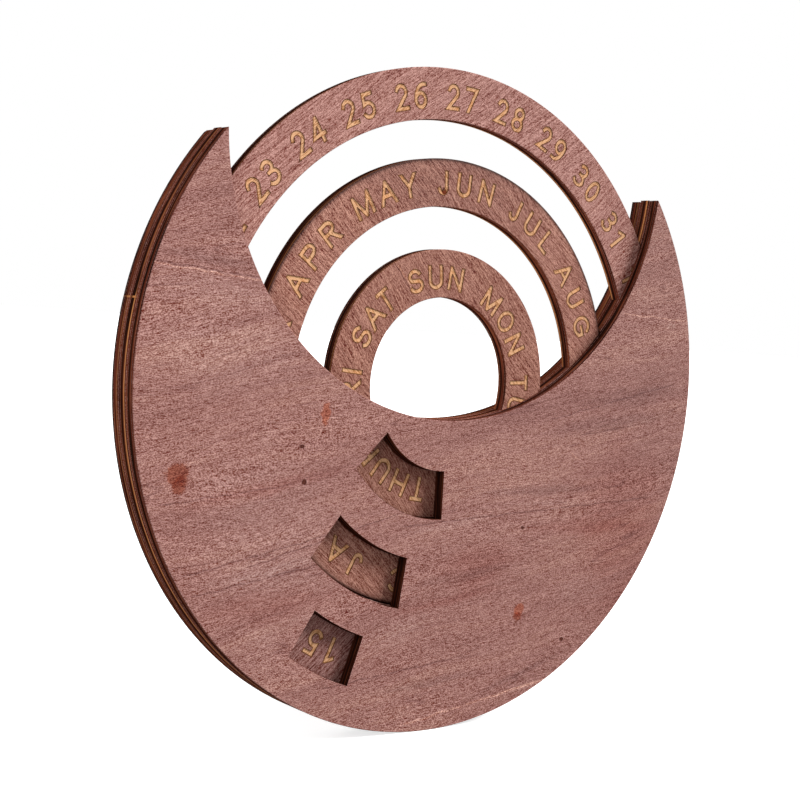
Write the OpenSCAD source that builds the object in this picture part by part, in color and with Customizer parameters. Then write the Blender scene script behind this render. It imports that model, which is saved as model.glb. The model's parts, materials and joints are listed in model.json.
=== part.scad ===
// Perpetual desk calendar.
// Three plywood rings, for the dates, the months and the weekdays, turn about one axis
// between two crescent-shaped plates. Arc-shaped spacers in the middle layer form the
// channels that the rings run in, and the spacers' ends are cut flush with the crescent.
//
// Frame: the disc stands upright on its rim, X to the right, Y to the back, Z up.
// The origin is on the desk, straight below the disc's centre and midway in its thickness.

/* [Crescent opening] */
// Diameter of the round opening that turns the disc into a crescent
opening_d = 117.8; // [106:0.2:124]
// How far the opening reaches below the disc's centre
opening_drop = 7.7; // [4:0.1:10]
// Lean of the opening to the right at which the body balances on its rim, in degrees
lean = 1; // [-15:0.5:15]

/* [Boards] */
// Thickness of the front plate
front_plate_t = 2.8; // [2:0.1:5]
// Thickness of the back plate
back_plate_t = 2.8; // [2:0.1:5]
// Thickness of the board that the three rings are cut from
ring_t = 2.8; // [2:0.1:5]

/* [Rings and spacers, from the centre outwards] */
// Diameter of the hole in the weekday ring
weekday_hole_d = 37.3; // [34:0.1:42]
// Width of the weekday ring's band
weekday_ring_w = 10.3; // [8:0.1:12]
// Width of the spacer between the weekday ring and the month ring
month_weekday_spacer_w = 8.45; // [6:0.05:12]
// Width of the month ring's band
month_ring_w = 10.2; // [8:0.1:12]
// Width of the spacer between the month ring and the date ring
date_month_spacer_w = 7.5; // [5:0.1:11]
// Width of the date ring's band
date_ring_w = 10.9; // [8:0.1:13]
// Width of the outer spacer, which is also the rim's wall around the date ring
outer_spacer_w = 7.5; // [4:0.1:12]

/* [Fits] */
// Gap between a ring and the spacers on either side of it
ring_side_gap = 0.3; // [0.1:0.05:0.6]
// Gap between a ring and the plates in front of it and behind it
ring_face_gap = 0.1; // [0.05:0.05:0.4]

/* [Windows] */
// Angle that the date window spans
date_window_a = 14.2; // [9:0.2:20]
// Angle that the month window spans
month_window_a = 30.8; // [20:0.2:45]
// Angle that the weekday window spans
weekday_window_a = 54.2; // [35:0.2:70]
// Angle from the point opposite the opening to the date window, clockwise from the front
date_window_bearing = 25.1; // [0:0.1:45]
// The same angle for the month window
month_window_bearing = 26.3; // [0:0.1:45]
// The same angle for the weekday window
weekday_window_bearing = 25.3; // [0:0.1:45]
// Tilt of the date window's ends out of their radii
date_window_tilt = 1; // [-10:0.5:10]
// Tilt of the month window's ends out of their radii
month_window_tilt = 4.5; // [-10:0.5:10]
// Tilt of the weekday window's ends out of their radii
weekday_window_tilt = 4.5; // [-10:0.5:10]
// How much more one end of the weekday window is tilted, and the other less
weekday_window_taper = 4.5; // [-10:0.5:10]
// How far the date window's outer edge covers the date ring
date_window_lip = 0.35; // [0:0.05:1.5]
// How far the month window's outer edge stands back from the month ring
month_window_margin = 0.5; // [0:0.05:1]

/* [Hidden] */
$fn = 180;

// Radii of the rings and of the channel walls, each set on the one inside it.
hub_r = weekday_hole_d / 2 - ring_side_gap;
weekday_ring_r = weekday_hole_d / 2 + weekday_ring_w;
month_weekday_spacer_r = weekday_ring_r + ring_side_gap + month_weekday_spacer_w;
month_ring_r = month_weekday_spacer_r + ring_side_gap + month_ring_w;
date_month_spacer_r = month_ring_r + ring_side_gap + date_month_spacer_w;
date_ring_r = date_month_spacer_r + ring_side_gap + date_ring_w;
body_r = date_ring_r + ring_side_gap + outer_spacer_w;

// The middle layer is as thick as a ring and its two face gaps.
middle_t = ring_t + 2 * ring_face_gap;
// Depths are counted from the middle of the whole stack, positive towards the front.
stack_t = back_plate_t + middle_t + front_plate_t;
back_z = -stack_t / 2;
middle_z = back_z + back_plate_t;
ring_z = middle_z + ring_face_gap;
front_z = middle_z + middle_t;

// Everything is drawn flat, with the opening up and the front towards +Z, and stood up here.
module upright() {
    translate([0, 0, body_r]) rotate([90, 0, 0]) rotate(-lean) children();
}

// One board: a flat outline given its thickness, from depth z towards the front.
module board(z, t) {
    translate([0, 0, z]) linear_extrude(t) children();
}

// The round opening of the crescent, which is cut through every layer but the rings.
module opening() {
    translate([0, opening_d / 2 - opening_drop]) circle(d = opening_d);
}

// The crescent that both plates have in common.
module crescent() {
    difference() {
        circle(r = body_r);
        opening();
    }
}

// A flat band of width w inside radius r.
module band(r, w) {
    difference() {
        circle(r = r);
        circle(r = r - w);
    }
}

// Half of the plane, bounded by a line that crosses radius r in direction a, tilted out of
// that radius. Side 1 is the half anticlockwise of the line, side -1 the other one.
module half_plane(r, a, tilt, side) {
    reach = 2 * body_r;
    rotate(a) translate([r, 0]) rotate(tilt)
        translate([-reach, side > 0 ? 0 : -reach]) square([2 * reach, reach]);
}

// A window between two radii. In the disc's own plane the opening points to 90 degrees, and
// the window's bearing counts from the point opposite.
module window(outer_r, inner_r, a, bearing, tilt, taper = 0) {
    middle_r = (outer_r + inner_r) / 2;
    dir = 270 - bearing;
    intersection() {
        band(outer_r, outer_r - inner_r);
        half_plane(middle_r, dir - a / 2, tilt + taper, 1);
        half_plane(middle_r, dir + a / 2, tilt - taper, -1);
    }
}

// A spacer of the middle layer: what the crescent holds between two channels.
module spacer(r, w) {
    board(middle_z, middle_t) difference() {
        band(r, w);
        opening();
    }
}

// A ring that turns in its channel.
module ring(r, w) {
    board(ring_z, ring_t) band(r, w);
}

module front_plate() {
    color([0.62, 0.45, 0.42]) upright() board(front_z, front_plate_t) difference() {
        crescent();
        window(date_ring_r - date_window_lip, date_ring_r - date_ring_w,
               date_window_a, date_window_bearing, date_window_tilt);
        window(month_ring_r + month_window_margin, month_ring_r - month_ring_w,
               month_window_a, month_window_bearing, month_window_tilt);
        window(weekday_ring_r, weekday_ring_r - weekday_ring_w,
               weekday_window_a, weekday_window_bearing, weekday_window_tilt,
               weekday_window_taper);
    }
}

module back_plate() {
    color([0.52, 0.36, 0.33]) upright() board(back_z, back_plate_t) crescent();
}

module outer_spacer() {
    color([0.36, 0.22, 0.17]) upright() spacer(body_r, outer_spacer_w);
}

module date_month_spacer() {
    color([0.40, 0.25, 0.19]) upright() spacer(date_month_spacer_r, date_month_spacer_w);
}

module month_weekday_spacer() {
    color([0.44, 0.28, 0.21]) upright()
        spacer(month_weekday_spacer_r, month_weekday_spacer_w);
}

// The hub is the segment inside the weekday ring that keeps that ring from lifting out.
module hub() {
    color([0.48, 0.31, 0.24]) upright() board(middle_z, middle_t) difference() {
        circle(r = hub_r);
        opening();
    }
}

module date_ring() {
    color([0.66, 0.49, 0.46]) upright() ring(date_ring_r, date_ring_w);
}

module month_ring() {
    color([0.68, 0.51, 0.47]) upright() ring(month_ring_r, month_ring_w);
}

module weekday_ring() {
    color([0.70, 0.53, 0.49]) upright() ring(weekday_ring_r, weekday_ring_w);
}

front_plate();
back_plate();
outer_spacer();
date_month_spacer();
month_weekday_spacer();
hub();
date_ring();
month_ring();
weekday_ring();
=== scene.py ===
"""Perpetual desk calendar of laser-cut plywood.

A crescent body of three glued boards holds three loose rings, engraved with the dates,
the months and the weekdays. Every board is made here with its plies, its burnt edges and its
stained veneer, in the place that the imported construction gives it.
"""

import json
import math

import bmesh
import bpy
from mathutils import Matrix, Vector
from mathutils.bvhtree import BVHTree
from mathutils.geometry import delaunay_2d_cdt

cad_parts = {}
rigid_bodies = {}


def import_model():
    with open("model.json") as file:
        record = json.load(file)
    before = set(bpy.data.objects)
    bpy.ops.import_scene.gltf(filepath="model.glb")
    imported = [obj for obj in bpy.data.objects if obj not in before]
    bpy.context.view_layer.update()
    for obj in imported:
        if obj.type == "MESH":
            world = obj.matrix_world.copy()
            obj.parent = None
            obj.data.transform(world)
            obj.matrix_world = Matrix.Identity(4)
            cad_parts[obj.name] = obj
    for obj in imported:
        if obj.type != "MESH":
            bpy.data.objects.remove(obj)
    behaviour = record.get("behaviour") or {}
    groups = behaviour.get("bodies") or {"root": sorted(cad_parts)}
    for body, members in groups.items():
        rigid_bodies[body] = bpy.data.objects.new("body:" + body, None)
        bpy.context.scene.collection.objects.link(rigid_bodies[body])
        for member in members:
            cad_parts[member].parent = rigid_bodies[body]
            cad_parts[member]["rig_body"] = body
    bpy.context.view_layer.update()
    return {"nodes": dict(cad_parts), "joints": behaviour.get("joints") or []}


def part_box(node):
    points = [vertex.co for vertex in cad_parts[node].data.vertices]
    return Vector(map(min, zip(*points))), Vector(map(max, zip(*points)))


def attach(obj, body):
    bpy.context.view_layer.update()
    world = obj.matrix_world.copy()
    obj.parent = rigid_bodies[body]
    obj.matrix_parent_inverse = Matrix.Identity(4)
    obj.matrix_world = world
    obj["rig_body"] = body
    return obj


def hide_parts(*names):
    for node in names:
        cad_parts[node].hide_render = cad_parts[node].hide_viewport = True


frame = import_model()

bl_info = {
    "name": "Perpetual Desk Calendar",
    "version": (1, 0, 0),
    "blender": (4, 5, 0),
    "location": "View3D > Sidebar > Calendar",
    "description": "Builds the boards and the engraved rings of a perpetual desk calendar",
    "category": "Object",
}

MM = 0.001

# Round outer edges stay this far inside the construction's, whose facets fall a little short.
SKIN = 0.015 * MM

# The rings turn about this point and axis, anticlockwise as seen from the front.
DISC_CENTRE = Vector(frame["joints"][0]["pos_m"])
TURN_AXIS = Vector(frame["joints"][0]["axis"])

# One turn of a round edge has this many straight steps.
STEPS_PER_TURN = 288

# Corners of a mesh closer than this are welded, and so are the ends of an outline's arcs.
WELD = 0.001 * MM
ARC_WELD = 0.002 * MM

# Edges between faces that meet at more than this stay sharp.
SHARP = math.radians(25)

WHITE = (1, 1, 1, 1)

# Order of a board's materials: its faces, its cut edges, the darker edges of its windows or of
# its outside, and the sides and the floor of its engraving. A ring's outside edges are darker for
# their char; the windows' edges partly for their char and partly as painted shade of the windows.
VENEER, EDGE, DARK_EDGE, RECESS_WALL, RECESS_FLOOR = range(5)


# ---------------------------------------------------------------- properties


class CalendarSizes(bpy.types.PropertyGroup):
    """Sizes of the crescent body and its plies."""

    opening_diameter: bpy.props.FloatProperty(
        name="Opening Diameter", description="Diameter of the opening that makes the disc a crescent",
        default=117.8 * MM, unit="LENGTH")
    opening_drop: bpy.props.FloatProperty(
        name="Opening Drop", description="How far the opening reaches below the disc's centre",
        default=7.7 * MM, unit="LENGTH")
    lean: bpy.props.FloatProperty(
        name="Lean", description="Lean of the opening to the right",
        default=math.radians(1), unit="ROTATION")
    face_ply: bpy.props.FloatProperty(
        name="Face Ply", description="Thickness of a board's outer veneers",
        default=0.62 * MM, unit="LENGTH")
    glue_groove: bpy.props.FloatProperty(
        name="Glue Groove", description="Depth that the laser burns out along a glue line",
        default=0.09 * MM, unit="LENGTH")
    blunting: bpy.props.FloatProperty(
        name="Blunting", description="How much of the crescent's thin tips has broken off",
        default=0.9 * MM, unit="LENGTH")
    edge_break: bpy.props.FloatProperty(
        name="Edge Break", description="Wear along the edges of a board's faces",
        default=0.1 * MM, unit="LENGTH")


class CalendarWindow(bpy.types.PropertyGroup):
    """One window of the front plate, over the ring that it shows."""

    ring: bpy.props.StringProperty(name="Ring", description="Ring that the window shows")
    span: bpy.props.FloatProperty(
        name="Span", description="Angle that the window spans", unit="ROTATION")
    bearing: bpy.props.FloatProperty(
        name="Bearing", description="Angle from the point opposite the opening, clockwise",
        unit="ROTATION")
    tilt: bpy.props.FloatProperty(
        name="Tilt", description="Tilt of the ends out of their radii", unit="ROTATION")
    taper: bpy.props.FloatProperty(
        name="Taper", description="How much more one end is tilted, and the other less",
        unit="ROTATION")
    margin: bpy.props.FloatProperty(
        name="Margin", description="How far the outer edge stands back from the ring",
        unit="LENGTH")


class CalendarDials(bpy.types.PropertyGroup):
    """Sizes of the engraved lettering."""

    engraving: bpy.props.FloatProperty(
        name="Engraving", description="Depth of the engraving",
        default=0.17 * MM, unit="LENGTH")
    stroke: bpy.props.FloatProperty(
        name="Stroke", description="Width of the engraved strokes",
        default=0.80 * MM, unit="LENGTH")
    halo: bpy.props.FloatProperty(
        name="Halo", description="Width of the burnt line along the strokes",
        default=0.14 * MM, unit="LENGTH")
    # The drift makes the dark line along each stroke wider on its left and lower side than on its right
    # and upper side.
    drift: bpy.props.FloatVectorProperty(
        name="Drift", description="Way that the burnt lines lie off their strokes, right and up",
        size=2, default=(-0.10 * MM, -0.05 * MM), unit="LENGTH")
    ledge: bpy.props.FloatProperty(
        name="Ledge", description="Depth of the burnt line along the strokes",
        default=0.02 * MM, unit="LENGTH")
    date_height: bpy.props.FloatProperty(
        name="Date Height", description="Height of the date figures",
        default=5.5 * MM, unit="LENGTH")
    month_height: bpy.props.FloatProperty(
        name="Month Height", description="Height of the month names",
        default=5.1 * MM, unit="LENGTH")
    weekday_height: bpy.props.FloatProperty(
        name="Weekday Height", description="Height of the weekday names",
        default=5.1 * MM, unit="LENGTH")


class CalendarFinish(bpy.types.PropertyGroup):
    """Colours of the stained veneer, the burnt edges and the engraving."""

    veneer: bpy.props.FloatVectorProperty(
        name="Veneer", description="Stained veneer", subtype="COLOR",
        default=(0.345, 0.158, 0.133))
    streak: bpy.props.FloatVectorProperty(
        name="Streak", description="Dark streaks of the veneer", subtype="COLOR",
        default=(0.240, 0.098, 0.084))
    blush: bpy.props.FloatVectorProperty(
        name="Blush", description="Warm lights of the veneer", subtype="COLOR",
        default=(0.440, 0.220, 0.172))
    # This tint darkens bands of the veneer's figure, and on the date ring it is painted shade where the
    # window shows the ring at rest.
    dusk: bpy.props.FloatVectorProperty(
        name="Dusk", description="Tint of the dark bands in the veneer", subtype="COLOR",
        default=(0.80, 0.79, 0.81))
    rust: bpy.props.FloatVectorProperty(
        name="Rust", description="Tint of the red-brown bands in the veneer", subtype="COLOR",
        default=(0.88, 0.74, 0.72))
    haze: bpy.props.FloatVectorProperty(
        name="Haze", description="Tint of the pale grey bands in the veneer", subtype="COLOR",
        default=(1.10, 1.20, 1.22))
    seam: bpy.props.FloatVectorProperty(
        name="Seam", description="Tint of the pale seams in the veneer", subtype="COLOR",
        default=(1.60, 1.80, 1.70))
    shade: bpy.props.FloatVectorProperty(
        name="Shade", description="Tint of the dark lines along the seams", subtype="COLOR",
        default=(0.62, 0.55, 0.57))
    resin: bpy.props.FloatVectorProperty(
        name="Resin", description="Tint of the brown spots in the veneer", subtype="COLOR",
        default=(0.72, 0.42, 0.31))
    amber: bpy.props.FloatVectorProperty(
        name="Amber", description="Tint of the orange spots in the veneer", subtype="COLOR",
        default=(1.00, 0.62, 0.45))
    knot: bpy.props.FloatVectorProperty(
        name="Knot", description="Tint of the dark pin knots in the veneer", subtype="COLOR",
        default=(0.25, 0.10, 0.06))
    smoke: bpy.props.FloatVectorProperty(
        name="Smoke", description="Tint of the smoke beside a cut", subtype="COLOR",
        default=(0.14, 0.08, 0.06))
    char: bpy.props.FloatVectorProperty(
        name="Char", description="Charred glue lines and core of a cut edge", subtype="COLOR",
        default=(0.016, 0.006, 0.004))
    scorch: bpy.props.FloatVectorProperty(
        name="Scorch", description="Scorched face plies of a cut edge", subtype="COLOR",
        default=(0.152, 0.034, 0.018))
    brown: bpy.props.FloatVectorProperty(
        name="Brown", description="Lightly burnt stretches of a cut edge", subtype="COLOR",
        default=(0.285, 0.080, 0.037))
    tan: bpy.props.FloatVectorProperty(
        name="Tan", description="Lines of a cut edge that the laser left light", subtype="COLOR",
        default=(0.820, 0.330, 0.110))
    gold: bpy.props.FloatVectorProperty(
        name="Gold", description="Bare wood on the floor of the engraving", subtype="COLOR",
        default=(0.800, 0.450, 0.245))
    floor: bpy.props.FloatVectorProperty(
        name="Floor", description="Floor under the calendar", subtype="COLOR",
        default=(0.80, 0.80, 0.80))


class CalendarStudio(bpy.types.PropertyGroup):
    """Camera and lights."""

    azimuth: bpy.props.FloatProperty(
        name="Azimuth", description="How far the camera stands to the left of the front",
        default=math.radians(37.2), unit="ROTATION")
    elevation: bpy.props.FloatProperty(
        name="Elevation", description="Height of the camera above the level of its target",
        default=math.radians(2.87), unit="ROTATION")
    roll: bpy.props.FloatProperty(
        name="Roll", description="Turn of the camera about its own line of sight",
        default=math.radians(3.9), unit="ROTATION")
    distance: bpy.props.FloatProperty(
        name="Distance", description="Distance of the camera from its target",
        default=333.3 * MM, unit="LENGTH")
    target: bpy.props.FloatVectorProperty(
        name="Target", description="Point that the camera looks at", subtype="TRANSLATION",
        default=(-6.21 * MM, 4.46 * MM, 70.95 * MM))
    lens: bpy.props.FloatProperty(
        name="Lens", description="Focal length in millimetres", default=69.33)
    key: bpy.props.FloatProperty(
        name="Key Light", description="Strength of the light from the upper right", default=4.6)
    side: bpy.props.FloatProperty(
        name="Side Light", description="Power of the soft box at the left, in watts", default=0.30)
    rear: bpy.props.FloatProperty(
        name="Rear Light", description="Strength of the light from behind", default=1.0)
    fill: bpy.props.FloatProperty(
        name="Fill Light", description="Strength of the light from all around", default=0.17)


# ------------------------------------------------------------------ lettering


# A bow of a glyph has a straight step for every so many degrees.
BOW_STEP = 12

# A stroke whose ends lie closer than this is closed.
CLOSED = 0.001 * MM

# A stroke's outline reaches out at a bend by no more than half its width divided by this.
MITRE_LIMIT = 0.15


def bow(x, z, wide, high, start, end):
    """Points of an elliptical arc in a glyph's cell, its angles in degrees."""
    steps = max(3, round(abs(end - start) / BOW_STEP))
    turns = [math.radians(start + (end - start) * step / steps) for step in range(steps + 1)]
    return [(x + wide * math.cos(turn), z + high * math.sin(turn)) for turn in turns]


# The dials' plain alphabet of even strokes: each glyph's width as a share of its height, and
# the centre lines of its strokes in a cell that is 1 wide and 1 high.
GLYPHS = {
    "0": (0.62, [bow(0.5, 0.5, 0.5, 0.5, 90, 450)]),
    "1": (0.62, [[(0.04, 0.80), (0.58, 1), (0.58, 0)]]),
    "2": (0.62, [bow(0.48, 0.72, 0.46, 0.28, 160, -32) + [(0, 0), (1, 0)]]),
    "3": (0.62, [bow(0.42, 0.765, 0.45, 0.235, 140, -90) + [(0.3, 0.53)],
                 [(0.3, 0.53)] + bow(0.42, 0.265, 0.54, 0.265, 90, -145)]),
    "4": (0.62, [[(0.76, 0), (0.76, 1), (0, 0.28), (1.06, 0.28)]]),
    "5": (0.62, [[(0.92, 1), (0.18, 1), (0.12, 0.56)] + bow(0.44, 0.31, 0.52, 0.31, 125, -145)]),
    "6": (0.62, [bow(0.5, 0.31, 0.48, 0.31, 90, 450), bow(0.84, 0.34, 0.82, 0.66, 80, 178)]),
    "7": (0.62, [[(0, 1), (1, 1), (0.3, 0)]]),
    "8": (0.62, [bow(0.5, 0.765, 0.42, 0.235, 90, 450), bow(0.5, 0.265, 0.5, 0.265, 90, 450)]),
    "9": (0.62, [bow(0.5, 0.69, 0.48, 0.31, 90, 450), bow(0.16, 0.66, 0.82, 0.66, -100, -2)]),
    "A": (0.86, [[(0, 0), (0.5, 1), (1, 0)], [(0.2, 0.36), (0.8, 0.36)]]),
    "B": (0.76, [[(0, 0), (0, 1), (0.5, 1)] + bow(0.5, 0.765, 0.4, 0.235, 85, -90) + [(0, 0.53)],
                 [(0, 0.53), (0.5, 0.53)] + bow(0.55, 0.265, 0.45, 0.265, 85, -90) + [(0, 0)]]),
    "C": (0.88, [bow(0.53, 0.5, 0.53, 0.5, 42, 318)]),
    "D": (0.82, [[(0, 0), (0, 1), (0.42, 1)] + bow(0.42, 0.5, 0.58, 0.5, 85, -90) + [(0, 0)]]),
    "E": (0.68, [[(1, 1), (0, 1), (0, 0), (1, 0)], [(0, 0.53), (0.92, 0.53)]]),
    "F": (0.62, [[(1, 1), (0, 1), (0, 0)], [(0, 0.51), (0.86, 0.51)]]),
    "G": (0.90, [bow(0.52, 0.5, 0.52, 0.5, 42, 318) + [(1, 0.2), (1, 0.46), (0.56, 0.46)]]),
    "H": (0.78, [[(0, 0), (0, 1)], [(1, 0), (1, 1)], [(0, 0.53), (1, 0.53)]]),
    "I": (0.17, [[(0.5, 0), (0.5, 1)]]),
    "J": (0.54, [[(1, 1), (1, 0.3)] + bow(0.5, 0.28, 0.5, 0.28, -5, -160)]),
    "L": (0.60, [[(0, 1), (0, 0), (1, 0)]]),
    "M": (0.94, [[(0, 0), (0, 1), (0.5, 0), (1, 1), (1, 0)]]),
    "N": (0.78, [[(0, 0), (0, 1), (1, 0), (1, 1)]]),
    "O": (0.85, [bow(0.5, 0.5, 0.5, 0.5, 90, 450)]),
    "P": (0.74, [[(0, 0), (0, 1), (0.55, 1)] + bow(0.55, 0.745, 0.45, 0.255, 85, -90) + [(0, 0.49)]]),
    "R": (0.77, [[(0, 0), (0, 1), (0.55, 1)] + bow(0.55, 0.755, 0.4, 0.245, 85, -90) + [(0, 0.51)],
                 [(0.5, 0.51), (0.98, 0)]]),
    "S": (0.74, [bow(0.5, 0.745, 0.45, 0.255, 22, 228) + bow(0.5, 0.265, 0.5, 0.265, 52, -158)]),
    "T": (0.66, [[(0, 1), (1, 1)], [(0.5, 1), (0.5, 0)]]),
    "U": (0.76, [[(0, 1), (0, 0.34)] + bow(0.5, 0.34, 0.5, 0.34, 185, 355) + [(1, 0.34), (1, 1)]]),
    "V": (0.80, [[(0, 1), (0.5, 0), (1, 1)]]),
    "W": (1.10, [[(0, 1), (0.26, 0), (0.5, 1), (0.74, 0), (1, 1)]]),
    "Y": (0.78, [[(0, 1), (0.5, 0.44), (1, 1)], [(0.5, 0.44), (0.5, 0)]]),
}

# How much closer than others some pairs of letters stand, as a share of their height.
KERNING = {"AT": 0.2, "AY": 0.15, "MA": 0.09, "SA": 0.1, "L ": 0.09}

DATES = " ".join(str(day) for day in range(1, 32))
MONTHS = "JAN FEB MAR APR MAY JUN JUL AUG SEP OCT NOV DEC"
WEEKDAYS = "MON TUE WED THUR FRI SAT SUN"


def spread_layout(text, height, radius, start, letter_gap, word_gap):
    """Yields each letter of a text and its angle, with even gaps between letters round a ring."""
    edge = start
    for place, letter in enumerate(text):
        if letter == " ":
            edge -= word_gap - letter_gap
            continue
        wide = GLYPHS[letter][0] * height / radius
        kern = KERNING.get(text[place:place + 2], 0) * height / radius
        yield letter, edge - wide / 2
        edge -= wide + letter_gap - kern


def offset_lines(path, weight):
    """The two lines half a stroke's weight to either side of a path, mitred at its bends."""
    closed = (path[0] - path[-1]).length < CLOSED
    points = path[:-1] if closed else path
    count = len(points)
    left, right = [], []
    for place, point in enumerate(points):
        before = points[place - 1] if closed or place else point
        after = points[(place + 1) % count] if closed or place < count - 1 else point
        ways = [(b - a).normalized() for a, b in ((before, point), (point, after)) if a != b]
        along = sum(ways, Vector((0, 0))).normalized()
        across = Vector((-along.y, along.x))
        reach = weight / 2 / max(along.dot(ways[0]), MITRE_LIMIT)
        left.append(point + across * reach)
        right.append(point - across * reach)
    return left, right, closed


def stroke_path(stroke, wide, high, weight, swell):
    """A stroke's centre line at its size, run on at its ends so that they come out square."""
    path = [Vector((weight / 2 + x * (wide - weight), weight / 2 + z * (high - weight)))
            for x, z in stroke]
    if (path[0] - path[-1]).length < CLOSED:
        return path
    for end, inner, cell_z in ((0, 1, stroke[0][1]), (-1, -2, stroke[-1][1])):
        way = (path[end] - path[inner]).normalized()
        trimmed = cell_z in (0, 1) and abs(way.y) > 0.3
        path[end] = path[end] + way * (weight * (1.0 if trimmed else 0.5) + swell)
    return path


def draw_glyph(bm, name, height, weight, swell, place):
    """Lays a glyph's strokes flat, trims them at its foot and its head, and moves it into place.

    The strokes swell by a given width to either side without moving.
    """
    share, strokes = GLYPHS[name]
    wide = max(share * height, weight * 1.001)
    drawn = []
    for stroke in strokes:
        lines = offset_lines(stroke_path(stroke, wide, height, weight, swell), weight + 2 * swell)
        edges = []
        for line in lines[:2]:
            verts = [bm.verts.new((point.x, 0, point.y)) for point in line]
            pairs = list(zip(verts, verts[1:])) + ([(verts[-1], verts[0])] if lines[2] else [])
            edges += [bm.edges.new(pair) for pair in pairs]
            drawn += verts
        bmesh.ops.bridge_loops(bm, edges=edges)
    for level, way in ((-swell, -1), (height + swell, 1)):
        # The keys of a dictionary, unlike a set, come out in the same order each run.
        touched = dict.fromkeys(edge for vert in drawn if vert.is_valid for edge in vert.link_edges)
        faces = dict.fromkeys(face for edge in touched for face in edge.link_faces)
        cut = bmesh.ops.bisect_plane(
            bm, geom=[v for v in drawn if v.is_valid] + list(touched) + list(faces),
            plane_co=(0, 0, level), plane_no=(0, 0, way), clear_outer=True)
        drawn = [v for v in drawn if v.is_valid]
        drawn += [v for v in cut["geom_cut"] if isinstance(v, bmesh.types.BMVert)]
    centred = Matrix.Translation((-wide / 2, 0, -height / 2))
    bmesh.ops.transform(bm, matrix=place @ centred, verts=list(set(drawn)))


# ------------------------------------------------------------- board geometry


def on_disc(radius, angle, y):
    """A point at a radius from the disc's axis, its angle anticlockwise from the right."""
    return DISC_CENTRE + Vector((radius * math.cos(angle), y, radius * math.sin(angle)))


def opening_circle(sizes):
    """Direction, distance from the disc's axis, and radius of the opening."""
    radius = sizes.opening_diameter / 2
    return math.pi / 2 - sizes.lean, radius - sizes.opening_drop, radius


def spin_arc(bm, start, centre, sweep):
    """Spins a vertex about a centre on the disc and returns the arc's last vertex."""
    steps = max(2, round(abs(sweep) / (2 * math.pi) * STEPS_PER_TURN))
    spun = bmesh.ops.spin(
        bm, geom=[start], cent=centre, axis=TURN_AXIS, angle=sweep, steps=steps)
    return next(item for item in spun["geom_last"] if isinstance(item, bmesh.types.BMVert))


def crescent_outline(bm, sizes, y, outer, inner=None, blunt=0.0):
    """Draws a disc, or the band between two radii, less the opening and its blunted tips."""
    heading, distance, radius = opening_circle(sizes)
    centre = on_disc(distance, heading, y)
    axis = on_disc(0, 0, y)

    def from_axis(r):
        """Angle at the disc's axis from the opening's direction to its edge at radius r."""
        return math.acos((r ** 2 + distance ** 2 - radius ** 2) / (2 * r * distance))

    def from_opening(r):
        """Angle at the opening's centre from its lowest point to its edge at radius r."""
        return math.acos((radius ** 2 + distance ** 2 - r ** 2) / (2 * radius * distance))

    if inner is None:
        tips = from_axis(outer) + blunt / outer
        first = bm.verts.new(on_disc(outer, heading + tips, y))
        last = spin_arc(bm, first, axis, 2 * (math.pi - tips))
        start = heading - math.pi + from_opening(outer) - blunt / 3 / radius
        edge = bm.verts.new(centre + Vector((math.cos(start), 0, math.sin(start))) * radius)
        bm.edges.new((last, edge))
        last = spin_arc(bm, edge, centre, -2 * (start - heading + math.pi))
        bm.edges.new((last, first))
    else:
        first = bm.verts.new(on_disc(outer, heading + from_axis(outer), y))
        last = spin_arc(bm, first, axis, 2 * (math.pi - from_axis(outer)))
        along_cut = from_opening(outer) - from_opening(inner)
        last = spin_arc(bm, last, centre, -along_cut)
        last = spin_arc(bm, last, axis, -2 * (math.pi - from_axis(inner)))
        spin_arc(bm, last, centre, -along_cut)


def window_outline(bm, sizes, window, y):
    """Draws a window over its ring, with straight ends that are tilted out of their radii."""
    inner, ring_edge = node_radii(window.ring)
    outer = ring_edge + window.margin
    middle = (outer + inner) / 2
    heading = 1.5 * math.pi - window.bearing - sizes.lean

    def end_angle(radius, side):
        """Angle at the disc's axis where an end meets a radius, the end's side being -1 or 1."""
        tilt = window.tilt - side * window.taper
        return heading + side * window.span / 2 + tilt - math.asin(middle * math.sin(tilt) / radius)

    corners = []
    for radius in (inner, outer):
        start = end_angle(radius, -1)
        first = bm.verts.new(on_disc(radius, start, y))
        corners.append((first, spin_arc(bm, first, on_disc(0, 0, y), end_angle(radius, 1) - start)))
    for near, far in zip(*corners):
        bm.edges.new((near, far))


def ply_steps(sizes, thickness):
    """Steps of a cut edge from the front face to the back face: depth, and how far it is cut in."""
    wear = sizes.edge_break
    groove = sizes.glue_groove
    half_groove = 0.05 * MM
    steps = [(0, wear), (wear, 0)]
    for glue in (sizes.face_ply, thickness - sizes.face_ply):
        steps += [(glue - half_groove, 0), (glue, groove), (glue + half_groove, 0)]
    return steps + [(thickness - wear, 0), (thickness, wear)]


def mark_edges(bm):
    """Turns a board's mesh outwards and tells its cut edges from its faces and worn corners."""
    bmesh.ops.recalc_face_normals(bm, faces=bm.faces)
    for face in bm.faces:
        face.material_index = VENEER if abs(face.normal.y) > 0.6 else EDGE


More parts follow.
